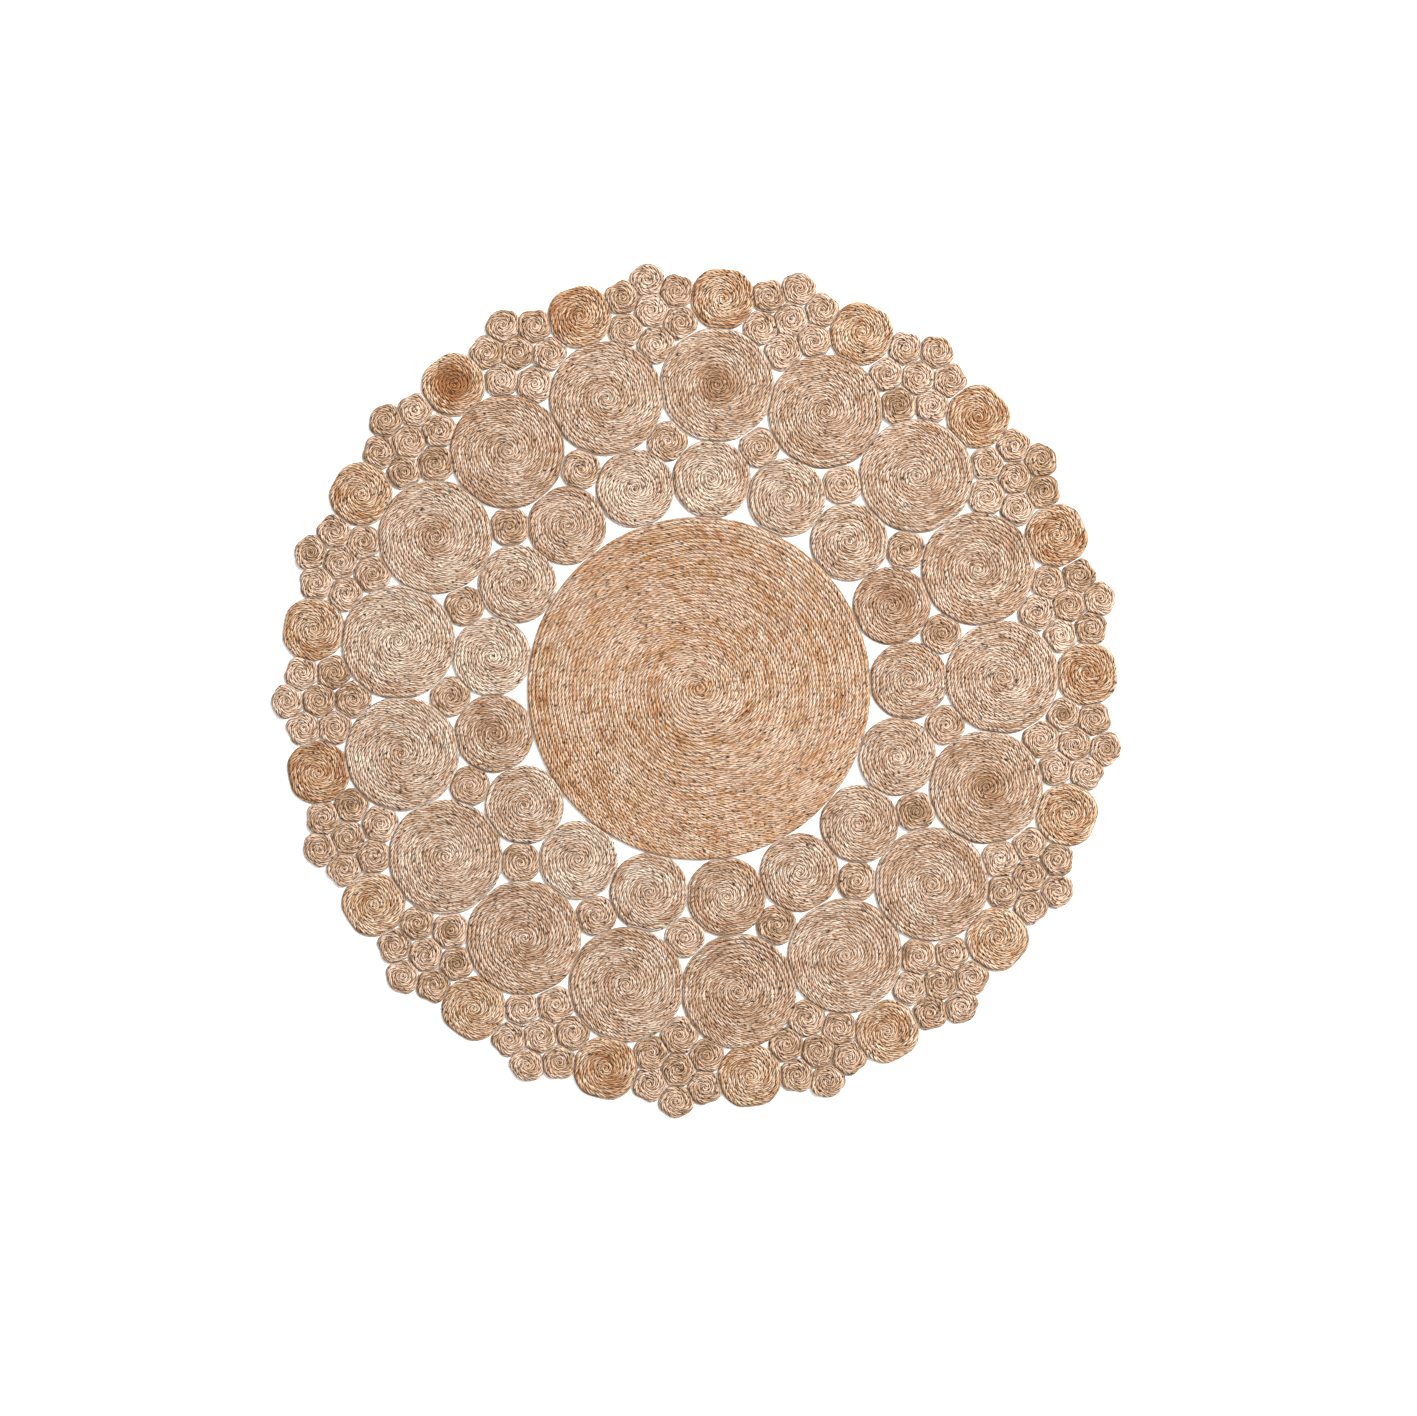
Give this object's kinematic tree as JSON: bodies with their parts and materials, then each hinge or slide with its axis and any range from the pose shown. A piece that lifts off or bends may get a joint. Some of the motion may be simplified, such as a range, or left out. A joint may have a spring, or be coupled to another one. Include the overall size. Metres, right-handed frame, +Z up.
{
  "type": "area rug",
  "caption": "Round openwork jute rug sewn together from flat rope coils of different sizes, with a scalloped edge of small coil clusters.",
  "frame": {"origin": "centre of the outline on the underside, where the rug meets the floor", "axes": "+Z up through the thickness; +Y is 3.3 degrees anticlockwise from the line through the first inner, large and rim coils; +X to the right of +Y seen from above"},
  "size_m": [1.794, 1.8043, 0.0075],
  "materials": {
    "jute_warm": "matte twisted jute rope, warm golden tan with orange and dark brown flecks",
    "jute_pale": "matte twisted jute rope, pale beige with tan and dark flecks",
    "jute_grey": "matte twisted jute rope, greyer beige, varying from coil to coil",
    "twine": "matte waxed jute sewing twine"
  },
  "bodies": {
    "root": {"centre_coil": "jute_warm", "inner_coil_01": "jute_pale", "inner_coil_02": "jute_pale", "inner_coil_03": "jute_pale", "inner_coil_04": "jute_pale", "inner_coil_05": "jute_pale", "inner_coil_06": "jute_pale", "inner_coil_07": "jute_pale", "inner_coil_08": "jute_pale", "inner_coil_09": "jute_pale", "inner_coil_10": "jute_pale", "inner_coil_11": "jute_pale", "inner_coil_12": "jute_pale", "inner_coil_13": "jute_pale", "inner_coil_14": "jute_pale", "inner_coil_15": "jute_pale", "inner_coil_16": "jute_pale", "inner_coil_17": "jute_pale", "large_coil_01": "jute_pale", "large_coil_02": "jute_pale", "large_coil_03": "jute_pale", "large_coil_04": "jute_pale", "large_coil_05": "jute_pale", "large_coil_06": "jute_pale", "large_coil_07": "jute_pale", "large_coil_08": "jute_pale", "large_coil_09": "jute_pale", "large_coil_10": "jute_pale", "large_coil_11": "jute_pale", "large_coil_12": "jute_pale", "large_coil_13": "jute_pale", "large_coil_14": "jute_pale", "large_coil_15": "jute_pale", "large_coil_16": "jute_pale", "large_coil_17": "jute_pale", "rim_cluster_01": "jute_grey", "rim_cluster_02": "jute_grey", "rim_cluster_03": "jute_grey", "rim_cluster_04": "jute_grey", "rim_cluster_05": "jute_grey", "rim_cluster_06": "jute_grey", "rim_cluster_07": "jute_grey", "rim_cluster_08": "jute_grey", "rim_cluster_09": "jute_grey", "rim_cluster_10": "jute_grey", "rim_cluster_11": "jute_grey", "rim_cluster_12": "jute_grey", "rim_cluster_13": "jute_grey", "rim_cluster_14": "jute_grey", "rim_cluster_15": "jute_grey", "rim_cluster_16": "jute_grey", "rim_cluster_17": "jute_grey", "rim_coils": "jute_warm", "filler_coils": "jute_grey", "stitches_centre": "twine", "stitches_inner_ring": "twine", "stitches_filler": "twine", "stitches_large_ring": "twine", "stitches_rim": "twine", "stitches_clusters": "twine"}
  },
  "joints": []
}
